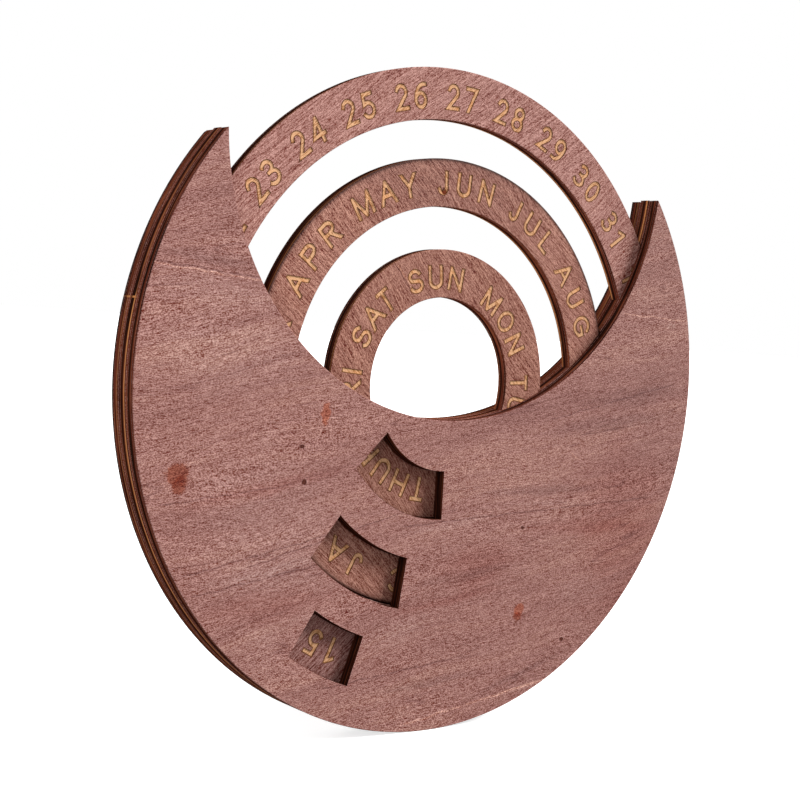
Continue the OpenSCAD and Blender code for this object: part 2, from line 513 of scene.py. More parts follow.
def board_from_outline(bm, sizes, thickness):
    """Fills a flat outline and carries it back through the plies of a board."""
    bmesh.ops.remove_doubles(bm, verts=bm.verts, dist=ARC_WELD)
    filled = bmesh.ops.triangle_fill(bm, edges=bm.edges[:], use_beauty=True, normal=(0, -1, 0))
    front = [item for item in filled["geom"] if isinstance(item, bmesh.types.BMFace)]
    for face in front:
        if face.normal.y > 0:
            face.normal_flip()
    steps = ply_steps(sizes, thickness)
    bmesh.ops.inset_region(
        bm, faces=front, thickness=steps[0][1], use_boundary=True, use_even_offset=True)
    kept = set(front)
    rim = [face for face in bm.faces if face not in kept]
    bmesh.ops.delete(bm, geom=rim, context="FACES")
    copied = bmesh.ops.duplicate(bm, geom=front)
    back = [item for item in copied["geom"] if isinstance(item, bmesh.types.BMFace)]
    for (depth, inset), (next_depth, next_inset) in zip(steps, steps[1:]):
        bmesh.ops.inset_region(
            bm, faces=back, thickness=next_inset - inset, depth=depth - next_depth,
            use_boundary=True, use_even_offset=True)
    bmesh.ops.remove_doubles(bm, verts=bm.verts, dist=WELD / 10)
    mark_edges(bm)


def ring_mesh(bm, sizes, inner, outer, front, back):
    """Spins the section of a ring, plies and all, about the disc's axis."""
    steps = ply_steps(sizes, back - front)
    wall_out = [(outer - inset, front + depth) for depth, inset in steps]
    wall_in = [(inner + inset, front + depth) for depth, inset in reversed(steps)]
    section = wall_out + wall_in
    verts = [bm.verts.new(on_disc(radius, 0, y)) for radius, y in section]
    edges = [bm.edges.new(pair) for pair in zip(verts, verts[1:] + verts[:1])]
    bmesh.ops.spin(
        bm, geom=verts + edges, cent=DISC_CENTRE, axis=TURN_AXIS, angle=2 * math.pi,
        steps=STEPS_PER_TURN, use_merge=True)
    mark_edges(bm)
    for face in bm.faces:
        outwards = (face.calc_center_median() - DISC_CENTRE).dot(face.normal) > 0
        if face.material_index == EDGE and outwards:
            face.material_index = DARK_EDGE


# Points of the engraving's outlines closer than this, in millimetres, are one point.
SAME_PLACE = 1e-4


def stroke_triangles(dials, layout, height, radius, swell, text_offset):
    """Flat triangles, in millimetres, that cover the strokes of all letters of a ring."""
    bm = bmesh.new()
    shift = Vector((text_offset[0], 0, text_offset[1]))
    for name, angle in layout:
        turn = Matrix.Rotation(angle - math.pi / 2, 4, TURN_AXIS)
        place = Matrix.Translation(DISC_CENTRE + shift) @ turn @ Matrix.Translation((0, 0, radius))
        draw_glyph(bm, name, height, dials.stroke, swell, place)
    triangles = [[loop.vert.co.xz / MM for loop in loops] for loops in bm.calc_loop_triangles()]
    bm.free()
    return triangles


def engrave(bm, dials, layout, height, radius, front, text_offset):
    """Sinks the letters into a ring's front face, with a shallow burnt line along each stroke."""
    face_ring = [face for face in bm.faces if face.normal.y < -0.99]
    layers = [[[vert.co.xz / MM for vert in face.verts] for face in face_ring]]
    layers += [stroke_triangles(dials, layout, height, radius, swell, Vector(text_offset) + drift)
               for swell, drift in ((dials.halo, Vector(dials.drift)), (0.0, Vector((0, 0))))]
    bmesh.ops.delete(bm, geom=face_ring, context="FACES_ONLY")
    points, sides, covers = [], [], []
    for shapes in layers:
        polygons = []
        for shape in shapes:
            corners = list(range(len(points), len(points) + len(shape)))
            points += shape
            polygons.append(corners)
            sides += zip(corners, corners[1:] + corners[:1])
        covers.append(BVHTree.FromPolygons(
            [point.to_3d() for point in points], polygons, epsilon=0.001))
    flat, _, triangles = delaunay_2d_cdt(points, sides, [], 0, SAME_PLACE, False)[:3]
    verts = [bm.verts.new((point.x * MM, front, point.y * MM)) for point in flat]
    for triangle in triangles:
        middle = sum((flat[corner] for corner in triangle), Vector((0, 0))) / 3
        on_face, on_line, on_stroke = (
            cover.ray_cast((*middle, 1), (0, 0, -1))[0] is not None for cover in covers)
        if on_face:
            face = bm.faces.new([verts[corner] for corner in triangle])
            face.material_index = (RECESS_FLOOR if on_stroke else
                                   RECESS_WALL if on_line else VENEER)
    bmesh.ops.delete(bm, geom=[vert for vert in verts if not vert.link_faces], context="VERTS")
    bmesh.ops.remove_doubles(bm, verts=bm.verts, dist=WELD)
    bmesh.ops.dissolve_degenerate(bm, edges=bm.edges, dist=WELD)
    level = bm.faces[:]
    for slots, depth in (((RECESS_WALL, RECESS_FLOOR), dials.ledge),
                         ((RECESS_FLOOR,), dials.engraving - dials.ledge)):
        sinking = [face for face in level if face.material_index in slots]
        sunk = bmesh.ops.extrude_face_region(bm, geom=sinking)["geom"]
        level = [item for item in sunk if isinstance(item, bmesh.types.BMFace)]
        moved = [item for item in sunk if isinstance(item, bmesh.types.BMVert)]
        bmesh.ops.translate(bm, verts=moved, vec=(0, depth, 0))
        for side in {face for vert in moved for face in vert.link_faces} - set(level):
            side.material_index = RECESS_WALL
        bmesh.ops.delete(bm, geom=sinking, context="FACES")


def mesh_object(name, build):
    """Makes an object of the mesh that a function builds."""
    bm = bmesh.new()
    build(bm)
    mesh = bpy.data.meshes.new(name)
    bm.to_mesh(mesh)
    bm.free()
    piece = bpy.data.objects.new(name, mesh)
    bpy.context.collection.objects.link(piece)
    return piece


def finish_piece(piece, node, slot, materials):
    """Shades a piece, gives it its materials and puts it in the place of its CAD node."""
    for material in materials:
        piece.data.materials.append(material)
    piece.data.polygons.foreach_set("use_smooth", [True] * len(piece.data.polygons))
    piece.data.set_sharp_from_angle(angle=SHARP)
    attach(piece, frame["nodes"][node]["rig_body"])
    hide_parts(node)


def board_depths(node):
    """Front and back of a CAD board, counted backwards from the middle of the disc."""
    low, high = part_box(node)
    return low.y, high.y


def body_radius():
    """The body's outer radius, just inside the reach of its CAD facets to either side."""
    low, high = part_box("back_plate")
    return min(DISC_CENTRE.x - low.x, high.x - DISC_CENTRE.x) - SKIN


def node_radii(node):
    """Smallest and largest distance of a CAD node from the disc's axis."""
    reach = [(vert.co - DISC_CENTRE).xz.length for vert in frame["nodes"][node].data.vertices]
    return min(reach), max(reach)


# ------------------------------------------------------------------ materials


# Nodes are laid out in rows of so many, with this much room for each.
NODES_PER_ROW = 12
NODE_ROOM = (220, 260)


class Wiring:
    """Adds nodes to a node tree and links them."""

    def __init__(self, tree):
        self.tree = tree
        tree.nodes.clear()

    def add(self, kind, sockets=None, **settings):
        """Adds a node with its settings and its inputs, which are values or other outputs."""
        node = self.tree.nodes.new(kind)
        row, column = divmod(len(self.tree.nodes), NODES_PER_ROW)
        node.location = (NODE_ROOM[0] * column, -NODE_ROOM[1] * row)
        for name, value in settings.items():
            setattr(node, name, value)
        for name, value in (sockets or {}).items():
            self.feed(node.inputs[name], value)
        return node

    def feed(self, socket, value):
        """Links an output to a socket, or sets the socket's value."""
        if isinstance(value, bpy.types.NodeSocket):
            self.tree.links.new(value, socket)
        else:
            socket.default_value = value

    def math(self, operation, first, second=0.0, clamp=False):
        """Result of one operation on numbers."""
        node = self.add("ShaderNodeMath", {0: first, 1: second}, operation=operation)
        node.use_clamp = clamp
        return node.outputs[0]

    def vector_math(self, operation, first, second, third=(0, 0, 0)):
        """Result of one operation on vectors or colours."""
        node = self.add("ShaderNodeVectorMath", {0: first, 1: second, 2: third}, operation=operation)
        return node.outputs[0]

    def ramp(self, value, low, high):
        """Smooth step from 0 at the low value to 1 at the high one."""
        node = self.add("ShaderNodeMapRange", {0: value, 1: low, 2: high, 3: 0.0, 4: 1.0},
                        interpolation_type="SMOOTHSTEP")
        return node.outputs[0]

    def line(self, value, centre, reach):
        """1 where the value is at the centre, and 0 from the given reach to either side of it."""
        away = self.math("ABSOLUTE", self.math("SUBTRACT", value, centre))
        return self.ramp(away, reach, reach * 0.4)

    def mix(self, factor, first, second):
        """Blend of two colours."""
        node = self.add("ShaderNodeMix", {0: factor, 6: first, 7: second}, data_type="RGBA")
        return node.outputs[2]

    def place(self, vector, scale=(1, 1, 1), turn=(0, 0, 0), shift=(0, 0, 0)):
        """Coordinates scaled, turned and shifted."""
        node = self.add("ShaderNodeMapping", {"Vector": vector, "Scale": scale,
                                              "Rotation": turn, "Location": shift})
        return node.outputs[0]

    def noise(self, vector, size, detail=2.0, rough=0.5, shift=(0, 0, 0)):
        """Noise whose patches have the given size along each coordinate."""
        placed = self.place(vector, scale=[1 / length for length in size], shift=shift)
        node = self.add("ShaderNodeTexNoise", {"Vector": placed, "Scale": 1.0,
                                               "Detail": detail, "Roughness": rough})
        return node.outputs[0]

    def wander(self, vector, size, detail=2.0, rough=0.5):
        """Noise that wanders about zero."""
        return self.math("SUBTRACT", self.noise(vector, size, detail, rough), 0.5)

    def vector(self, x=0.0, y=0.0, z=0.0):
        """A vector of its three parts."""
        return self.add("ShaderNodeCombineXYZ", {0: x, 1: y, 2: z}).outputs[0]

    def parts(self, vector):
        """The X, Y and Z of a vector."""
        return self.add("ShaderNodeSeparateXYZ", {0: vector}).outputs

    def length(self, vector):
        """Length of a vector."""
        return self.add("ShaderNodeVectorMath", {0: vector}, operation="LENGTH").outputs[1]

    def tint(self, colour, mask, tint):
        """A colour that takes on a tint where a mask is 1."""
        return self.vector_math("MULTIPLY", colour, self.mix(mask, WHITE, tint))

    def group(self, name, build, sockets):
        """Outputs of the node group of that name, which is built the first time it is placed."""
        tree = bpy.data.node_groups.get(name) or build()
        return self.add("ShaderNodeGroup", sockets, node_tree=tree).outputs


def node_group(name, inputs, outputs):
    """An empty node group with named inputs and outputs, ready to be wired."""
    tree = bpy.data.node_groups.new(name, "ShaderNodeTree")
    kinds = {"vector": "NodeSocketVector", "color": "NodeSocketColor", "value": "NodeSocketFloat"}
    wiring = Wiring(tree)
    for socket, kind in inputs.items():
        tree.interface.new_socket(name=socket, in_out="INPUT", socket_type=kinds[kind])
    for socket, kind in outputs.items():
        tree.interface.new_socket(name=socket, in_out="OUTPUT", socket_type=kinds[kind])
    return wiring, wiring.add("NodeGroupInput").outputs, wiring.add("NodeGroupOutput").inputs


def opaque(colour, strength=1.0):
    """A colour property, made darker or lighter, as the four numbers that a node takes."""
    return (*(part * strength for part in colour), 1.0)


def tinted(colour, tint):
    """A colour property tinted by another colour, as the four numbers that a node takes."""
    return (*(part * share for part, share in zip(colour, tint)), 1.0)


def veneer_group():
    """Stained rose-brown veneer. Its coordinates are in millimetres, X along the grain."""
    w, take, give = node_group(
        "Stained veneer",
        {"Vector": "vector", "Veneer": "color", "Streak": "color", "Blush": "color",
         "Streaking": "value", "Fibre": "value", "Stripes": "value"},
        {"Color": "color", "Roughness": "value", "Height": "value"})
    # Slow bends carry the whole figure up and down across the grain.
    lift = w.math("MULTIPLY", w.wander(take["Vector"], (60, 30, 28)), 15.0)
    grain = w.vector_math("ADD", take["Vector"], w.vector(z=lift))

    def fibres(size, low, shift):
        """Short marks along the grain, lighter and darker than the rest by up to a half."""
        marks = w.noise(grain, size, detail=1, shift=shift)
        return w.math("SUBTRACT", w.ramp(marks, low, 1 - low), 0.5)

    # Bands of the figure, broad and narrow, some darker and some warmer than the rest.
    broad = w.noise(grain, (90, 40, 7.5))
    narrow = w.noise(grain, (26, 20, 1.6), detail=3, rough=0.6, shift=(7, 3, 1))
    figure = w.math("ADD", w.math("MULTIPLY", broad, 0.6), w.math("MULTIPLY", narrow, 0.4))
    dark = w.math("MULTIPLY", w.ramp(figure, 0.48, 0.66), take["Streaking"], clamp=True)
    warm = w.math("MULTIPLY", w.ramp(figure, 0.52, 0.36), take["Streaking"], clamp=True)
    banded = w.mix(warm, w.mix(dark, take["Veneer"], take["Streak"]), take["Blush"])
    # Thin dark lines that follow the figure in some places, stronger where the streaks are.
    contour = w.noise(grain, (50, 20, 3.2), detail=1, shift=(1, 8, 4))
    places = w.ramp(w.noise(grain, (14, 20, 9), detail=1, shift=(9, 1, 5)), 0.44, 0.60)
    line = w.math("MULTIPLY", w.line(contour, 0.52, 0.014), places)
    drawn = w.math("MULTIPLY", line, w.math("MULTIPLY", take["Streaking"], 1.78), clamp=True)
    lined = w.mix(drawn, banded, take["Streak"])
    # Flecks, and longer dashes and stripes that show which way the grain runs.
    flecks = fibres((0.36, 0.4, 0.14), 0.33, (3, 1, 2))
    dashes = w.math("MULTIPLY", fibres((1.7, 0.6, 0.2), 0.30, (5, 2, 7)), 0.5)
    stripes = w.math("MULTIPLY", fibres((8, 2, 0.26), 0.32, (8, 4, 6)), take["Stripes"])
    marks = w.math("ADD", flecks, w.math("ADD", dashes, stripes))
    strong = w.math("MULTIPLY", marks, take["Fibre"])
    tint = w.vector_math("MULTIPLY_ADD", strong, (0.64, 0.94, 1.02), (1, 1, 1))
    w.feed(give["Color"], w.vector_math("MULTIPLY", lined, tint))
    w.feed(give["Roughness"], w.math("ADD", w.math("MULTIPLY", flecks, 0.2), 0.62))
    w.feed(give["Height"], marks)
    return w.tree


def edge_group():
    """Burnt edge of a three-ply board. Depth runs from 0 at its front face to 1 at its back."""
    w, take, give = node_group(
        "Burnt ply edge",
        {"Vector": "vector", "Depth": "value", "Glue": "value", "Char": "color",
         "Scorch": "color", "Brown": "color", "Tan": "color", "Char Depth": "value",
         "Tan Depth": "value", "Tan Strength": "value"},
        {"Color": "color", "Roughness": "value", "Height": "value"})
    # The plies waver a little, and fine lines run along them.
    waver = w.wander(take["Vector"], (22, 60, 22))
    depth = w.math("ADD", take["Depth"], w.math("MULTIPLY", waver, 0.10))
    lines = w.noise(take["Vector"], (16, 0.40, 16), rough=0.55)
    scorched = w.mix(w.ramp(lines, 0.38, 0.46), take["Char"], take["Scorch"])
    patches = w.noise(take["Vector"], (12, 2.4, 12), shift=(4, 4, 4))
    browned = w.mix(w.math("MULTIPLY", w.ramp(lines, 0.50, 0.60), w.ramp(patches, 0.34, 0.54)),
                    scorched, take["Brown"])
    # The core ply lies across the others and chars to one side, and so do the glue lines.
    from_face = w.math("MINIMUM", depth, w.math("SUBTRACT", 1.0, depth))
    glue_line = w.line(from_face, take["Glue"], 0.05)
    core = w.line(depth, take["Char Depth"], 0.17)
    burnt = w.math("MAXIMUM", glue_line, w.math("MULTIPLY", core, 0.9))
    charred = w.mix(burnt, browned, take["Char"])
    # One line stayed light along most of its length, and glows through where it was thinnest.
    along = w.ramp(w.noise(take["Vector"], (30, 60, 30), detail=1, shift=(2, 9, 2)), 0.24, 0.40)
    share = w.math("MULTIPLY", take["Tan Strength"], along)
    core_line = w.math("MULTIPLY", w.line(depth, take["Tan Depth"], 0.095), share, clamp=True)
    w.feed(give["Color"], w.mix(core_line, charred, take["Tan"]))
    w.feed(give["Roughness"], w.math("ADD", w.math("MULTIPLY", lines, 0.2), 0.65))
    w.feed(give["Height"], w.math("SUBTRACT", lines, glue_line))
    return w.tree


# Depth of the relief of the wood's fibres and of the burnt edges' lines.
RELIEF = 0.03 * MM

# A mark in the veneer runs all the way through it: its extent backwards, in millimetres.
ALL_THE_WAY = 1000.0

# Inputs of a mark that runs along a line.
LINE_SOCKETS = {"Vector": "vector", "Place": "vector", "Length": "value", "Width": "value",
                "Turn": "value"}


def spot_group():
    """Mask of a blotch with a ragged outline, of a width and a height, at a place."""
    w, take, give = node_group(
        "Veneer spot", {"Vector": "vector", "Place": "vector", "Width": "value", "Height": "value"},
        {"Mask": "value"})
    offset = w.vector_math("SUBTRACT", take["Vector"], take["Place"])
    extent = w.vector(take["Width"], ALL_THE_WAY, take["Height"])
    away = w.length(w.vector_math("DIVIDE", offset, extent))
    shape = w.wander(take["Vector"], (1.7, 1.7, 1.4), detail=3, rough=0.75)
    ragged = w.math("ADD", away, w.math("MULTIPLY", shape, 0.9))
    w.feed(give["Mask"], w.ramp(ragged, 0.62, 0.42))
    return w.tree


def along_line(w, take):
    """A mark's coordinates from its place, with X along its line."""
    offset = w.vector_math("SUBTRACT", take["Vector"], take["Place"])
    return w.add("ShaderNodeVectorRotate", {"Vector": offset, "Angle": take["Turn"]},
                 rotation_type="Y_AXIS").outputs[0]


def band_group():
    """Mask of a soft band of a length and a width, with its middle at a place."""
    w, take, give = node_group("Veneer band", LINE_SOCKETS, {"Mask": "value"})
    turned = along_line(w, take)
    extent = w.vector(take["Length"], ALL_THE_WAY, take["Width"])
    share = w.vector_math("DIVIDE", turned, extent)
    bend = w.vector(z=w.wander(turned, (16, 60, 30)))
    away = w.length(w.vector_math("ADD", share, bend))
    streaks = w.math("MULTIPLY", w.noise(turned, (20, 60, 0.9), shift=(3, 3, 3)), 1.6)
    w.feed(give["Mask"], w.math("MULTIPLY", w.ramp(away, 0.5, 0.1), streaks, clamp=True))
    return w.tree


def seam_group():
    """Mask of a thin wavy line of a length and a width, with its start at a place."""
    w, take, give = node_group("Veneer seam", LINE_SOCKETS, {"Mask": "value"})
    turned = along_line(w, take)
    parts = w.parts(turned)
    waver = w.wander(turned, (5, 60, 60), rough=0.6)
    across = w.math("ADD", parts["Z"], w.math("MULTIPLY", waver, 1.4))
    thin = w.ramp(w.math("ABSOLUTE", across), take["Width"], 0.0)
    middle = w.math("DIVIDE", take["Length"], 2)
    along = w.math("ABSOLUTE", w.math("SUBTRACT", parts["X"], middle))
    ends = w.ramp(w.math("SUBTRACT", along, middle), 0.0, -3.0)
    broken = w.ramp(w.noise(turned, (1.5, 9, 9), shift=(4, 4, 4)), 0.28, 0.44)
    w.feed(give["Mask"], w.math("MULTIPLY", w.math("MULTIPLY", thin, ends), broken))
    return w.tree


def smoke_group():
    """Mask of the smoke that a cut leaves inside a radius round the disc, all in millimetres."""
    w, take, give = node_group(
        "Cut smoke", {"Vector": "vector", "Radius": "value"}, {"Mask": "value"})
    offset = w.vector_math("SUBTRACT", take["Vector"], DISC_CENTRE / MM)
    away = w.length(w.vector_math("MULTIPLY", offset, (1, 0, 1)))
    inside = w.math("SUBTRACT", take["Radius"], away)
    reach = w.math("MULTIPLY", w.noise(take["Vector"], (5, 60, 5)), 4.2)
    wisps = w.math("MULTIPLY", w.ramp(inside, reach, -0.5), 0.42)
    rim = w.math("MULTIPLY", w.ramp(inside, 0.75, 0.2), 0.55)
    w.feed(give["Mask"], w.math("ADD", wisps, rim))
    return w.tree


def new_material(name, specular):
    """A material, its wiring, its shader and its object coordinates in millimetres."""
    material = bpy.data.materials.new(name)
    material.use_nodes = True
    w = Wiring(material.node_tree)
    shader = w.add("ShaderNodeBsdfPrincipled")
    shader.inputs["Specular IOR Level"].default_value = specular
    w.feed(w.add("ShaderNodeOutputMaterial").inputs["Surface"], shader.outputs[0])
    where = w.add("ShaderNodeTexCoord").outputs["Object"]
    millimetres = w.place(where, scale=(1 / MM, 1 / MM, 1 / MM))
    return material, w, shader, millimetres


def spotted(w, colour, millimetres, finish, spots):
    """A colour with spots on it: their tint, place, width and height."""
    for tint, x, z, wide, high in spots:
        spot = w.group("Veneer spot", spot_group, {
            "Vector": millimetres, "Place": (x, 0, z), "Width": wide, "Height": high})
        colour = w.tint(colour, spot["Mask"], opaque(getattr(finish, tint)))
    return colour


def raise_surface(w, shader, height):
    """Feeds a height, of which 1 stands for the relief's depth, to the shader's normal."""
    bump = w.add("ShaderNodeBump", {"Height": height, "Distance": RELIEF, "Strength": 1.0})
    w.feed(shader.inputs["Normal"], bump.outputs[0])


def veneer_material(name, finish, grain, shift=(0, 0, 0), streaking=0.45, fibre=1.4, stripes=0.2,
                    dye=(1, 1, 1), spots=(), bands=(), seams=(), smoked=None):
    """Veneered face of a board, its grain turned from level by an angle in degrees.

    A smoked radius, in millimetres, is one along which a cut has left its smoke.
    """
    material, w, shader, millimetres = new_material(name, specular=0.2)
    along = w.place(millimetres, turn=(0, math.radians(grain), 0), shift=shift)
    wood = w.group("Stained veneer", veneer_group, {
        "Vector": along, "Veneer": tinted(finish.veneer, dye),
        "Streak": tinted(finish.streak, dye), "Blush": tinted(finish.blush, dye),
        "Streaking": streaking, "Fibre": fibre, "Stripes": stripes})
    colour = spotted(w, wood["Color"], millimetres, finish, spots)
    for group, build, marks in (("Veneer band", band_group, bands),
                                ("Veneer seam", seam_group, seams)):
        for tint, x, z, length, width, turn in marks:
            mark = w.group(group, build, {
                "Vector": millimetres, "Place": (x, 0, z), "Length": length, "Width": width,
                "Turn": math.radians(turn)})
            colour = w.tint(colour, mark["Mask"], opaque(getattr(finish, tint)))
    if smoked:
        smoke = w.group("Cut smoke", smoke_group, {"Vector": millimetres, "Radius": smoked})
        colour = w.tint(colour, smoke["Mask"], opaque(finish.smoke))
    w.feed(shader.inputs["Base Color"], colour)
    w.feed(shader.inputs["Roughness"], wood["Roughness"])
    raise_surface(w, shader, wood["Height"])
    return material


def edge_material(name, finish, sizes, front, back, tan_depth, tan_strength, char_depth=0.6,
                  light=1.0, start=None):
    """Burnt edge of a board that reaches from one depth to another.

    The start is the height, in millimetres, where the laser began its cut on the left.
    """
    material, w, shader, millimetres = new_material(name, specular=0.0)
    thickness = (back - front) / MM
    parts = w.parts(millimetres)
    share = w.math("DIVIDE", w.math("SUBTRACT", parts["Y"], front / MM), thickness)
    if start:
        left = w.math("LESS_THAN", parts["X"], 0.0)
        faded = w.math("MULTIPLY", left, w.ramp(parts["Z"], start, start + 1.5))
        tan_strength = w.math("MULTIPLY", tan_strength, w.math(
            "SUBTRACT", 1.0, w.math("MULTIPLY", faded, 0.75)))
    edge = w.group("Burnt ply edge", edge_group, {
        "Vector": millimetres, "Depth": share, "Glue": sizes.face_ply / MM / thickness,
        "Char": opaque(finish.char), "Scorch": opaque(finish.scorch, light),
        "Brown": opaque(finish.brown, light), "Tan": opaque(finish.tan),
        "Char Depth": char_depth, "Tan Depth": tan_depth, "Tan Strength": tan_strength})
    colour = edge["Color"]
    if start:
        nick = w.math("MULTIPLY", w.line(parts["Z"], start, 0.26), left)
        specks = w.ramp(w.noise(millimetres, (2, 0.7, 2), detail=1), 0.36, 0.60)
        colour = w.mix(w.math("MULTIPLY", nick, specks), colour, opaque(finish.tan, 0.9))
    w.feed(shader.inputs["Base Color"], colour)
    w.feed(shader.inputs["Roughness"], edge["Roughness"])
    raise_surface(w, shader, edge["Height"])
    return material


def recess_wall_material(finish):
    """Burnt sides of the engraving."""
    material, w, shader, millimetres = new_material("engraving_wall", specular=0.1)
    soot = w.noise(millimetres, (0.8, 0.3, 0.8))
    w.feed(shader.inputs["Base Color"],
           w.mix(w.ramp(soot, 0.35, 0.75), opaque(finish.tan, 0.27), opaque(finish.scorch, 0.36)))
    shader.inputs["Roughness"].default_value = 0.8
    return material


def recess_floor_material(name, finish, grain, spots):
    """Bare wood on the engraving's floor, with scorched fibres that follow the ring's grain."""
    material, w, shader, millimetres = new_material(name, specular=0.1)
    along = w.place(millimetres, turn=(0, math.radians(grain), 0))
    fibres = w.noise(along, (1.5, 1, 0.26), detail=1.5, rough=0.6)
    dashes = w.math("MULTIPLY", w.ramp(fibres, 0.48, 0.62), 0.85)
    browned = w.mix(dashes, opaque(finish.gold), opaque(finish.tan, 0.5))
    patches = w.noise(millimetres, (2.5, 2.5, 2.5))
    toned = w.mix(w.math("MULTIPLY", w.ramp(patches, 0.5, 0.72), 0.3), browned, opaque(finish.tan))
    w.feed(shader.inputs["Base Color"], spotted(w, toned, millimetres, finish, spots))
    shader.inputs["Roughness"].default_value = 0.8
    raise_surface(w, shader, fibres)
    return material


# ------------------------------------------------------------------ operators


# Height, in millimetres, at which the laser began the round cut of the two rear boards.
LASER_START = 89.1


def build_board(context, node, outline, veneer, tan_strength, char_depth=0.58, mark_windows=None):
    """Makes one fixed board from the outline that a function draws.

    A second function may mark the edges of its windows, which are darker: partly charred and partly
    painted shade.
    """
    sizes = context.scene.calendar_sizes
    finish = context.scene.calendar_finish
    front, back = board_depths(node)

    def draw(bm):
        outline(bm, front)
        board_from_outline(bm, sizes, back - front)

    piece = mesh_object(node + "_board", draw)
    edge = edge_material(node + "_edge", finish, sizes, front, back, tan_depth=0.27,
                         tan_strength=tan_strength, char_depth=char_depth,
                         start=LASER_START if node in ("back_plate", "outer_spacer") else None)
    materials = [veneer, edge]
    if mark_windows:
        mark_windows(piece)
        # The windows' edges are darker than the other cut edges, partly for their char and partly as
        # painted shade of the deep windows.
        materials.append(edge_material(node + "_window_edge", finish, sizes, front, back,
                                       tan_depth=0.12, tan_strength=0.0, char_depth=0.5, light=0.45))
    finish_piece(piece, node, "plate_wood" if "plate" in node else "spacer_wood", materials)


# Spots in the front veneer: tint, place from the origin, width and height, in millimetres.
FRONT_SPOTS = (
    ("resin", -64.5, 56.0, 4.6, 4.2), ("resin", -64.0, 54.2, 2.8, 3.6),
    ("amber", -31.4, 68.2, 2.0, 4.4), ("knot", -36.6, 61.6, 1.1, 0.7),
    ("knot", -35.6, 54.4, 1.1, 0.9), ("knot", 24.0, 43.6, 1.0, 0.7), ("knot", 38.5, 17.3, 1.1, 0.8),
    ("amber", 24.8, 24.8, 2.8, 2.6), ("resin", 24.4, 23.4, 2.4, 2.0),
    ("haze", 67.1, 91.2, 2.6, 1.6), ("knot", -54.5, 120.0, 0.8, 0.8), ("knot", -55.0, 115.6, 0.8, 0.7))

# Soft bands of its figure: tint, place, length and width in millimetres, and rise in degrees.
FRONT_BANDS = (
    ("dusk", 57.3, 74.2, 44, 6, 9), ("dusk", 50.0, 67.5, 56, 5, 8), ("dusk", 30.0, 52.0, 56, 3, 2),
    ("rust", 46.0, 43.3, 52, 5, 1), ("dusk", 9.0, 33.7, 44, 3.5, 8), ("rust", 4.0, 28.3, 40, 3, 9),
    ("dusk", 0.0, 10.5, 40, 3, 5), ("dusk", 26.0, 10.3, 34, 2.5, 17), ("rust", -44.0, 53.3, 52, 4, 12),
    ("rust", -42.0, 29.5, 40, 9, 6), ("haze", -42.7, 36.7, 40, 3, 10), ("haze", 2.3, 44.8, 36, 3, 9),
    ("haze", 40.7, 49.2, 56, 2, 1), ("haze", -10.0, 22.5, 26, 7, 12), ("dusk", -60.0, 97.6, 30, 3.4, -3),
    ("haze", -56.0, 91.0, 42, 8, -3), ("haze", -54.0, 80.0, 46, 18, 0), ("haze", 50.0, 30.0, 40, 8, 12),
    ("haze", -41.6, 42.9, 44, 56, 10), ("rust", 56.7, 42.2, 44, 58, 12), ("rust", 12.0, 35.5, 30, 12, 9))

# Pale seams and dark lines of its strips: tint, left end, length and width in millimetres, and
# rise in degrees.
FRONT_SEAMS = (("seam", -75.0, 96.0, 30, 0.25, -4.5), ("shade", -75.0, 96.5, 30, 0.26, -4.5),
               ("seam", 49.0, 93.4, 25, 0.26, -2),
               ("seam", -8.0, 1.6, 46, 0.4, 9), ("seam", 35.3, 61.7, 6.5, 0.2, -30),
               ("shade", -62.0, 32.0, 40, 0.25, 10), ("shade", -63.0, 36.2, 40, 0.25, 12),
               ("shade", -50.0, 37.0, 45, 0.22, 15), ("shade", -12.0, 44.6, 78, 0.25, 4),
               ("shade", -30.0, 11.4, 38, 0.3, 6), ("shade", 28.0, 67.6, 44, 0.25, 13),
               ("shade", -70.0, 50.0, 34, 0.22, 7))


class CALENDAR_OT_front_plate(bpy.types.Operator):
    """Builds the front plate with its three windows"""

    bl_idname = "calendar.front_plate"
    bl_label = "Front Plate"

    def execute(self, context):
        sizes = context.scene.calendar_sizes
        finish = context.scene.calendar_finish
        radius = body_radius()

        def outline(bm, y):
            crescent_outline(bm, sizes, y, radius, blunt=sizes.blunting / 3)
            for window in context.scene.calendar_windows:
                window_outline(bm, sizes, window, y)

        def mark_windows(piece):
            """Marks the edges and corners that lie on neither the rim nor the opening."""
            heading, distance, opening = opening_circle(sizes)
            away = on_disc(distance, heading, 0)
            for face in piece.data.polygons:
                on_rim = (face.center - DISC_CENTRE).xz.length > radius - sizes.edge_break * 2
                on_opening = (face.center - away).xz.length < opening + sizes.edge_break * 2
                if abs(face.normal.y) < 0.99 and not on_rim and not on_opening:
                    face.material_index = DARK_EDGE

        veneer = veneer_material("front_plate_veneer", finish, grain=10.5, spots=FRONT_SPOTS,
                                 bands=FRONT_BANDS, seams=FRONT_SEAMS)
        build_board(context, "front_plate", outline, veneer, tan_strength=0.0,
                    mark_windows=mark_windows)
        return {"FINISHED"}


class CALENDAR_OT_back_plate(bpy.types.Operator):
    """Builds the plain back plate"""

    bl_idname = "calendar.back_plate"
    bl_label = "Back Plate"

    def execute(self, context):
        sizes = context.scene.calendar_sizes
        radius = body_radius()
        veneer = veneer_material("back_plate_veneer", context.scene.calendar_finish, grain=-6,
                                 shift=(130, 0, 40), streaking=0.8)
        build_board(context, "back_plate",
                    lambda bm, y: crescent_outline(bm, sizes, y, radius, blunt=sizes.blunting),
                    veneer, tan_strength=0.3, char_depth=0.86)
        return {"FINISHED"}


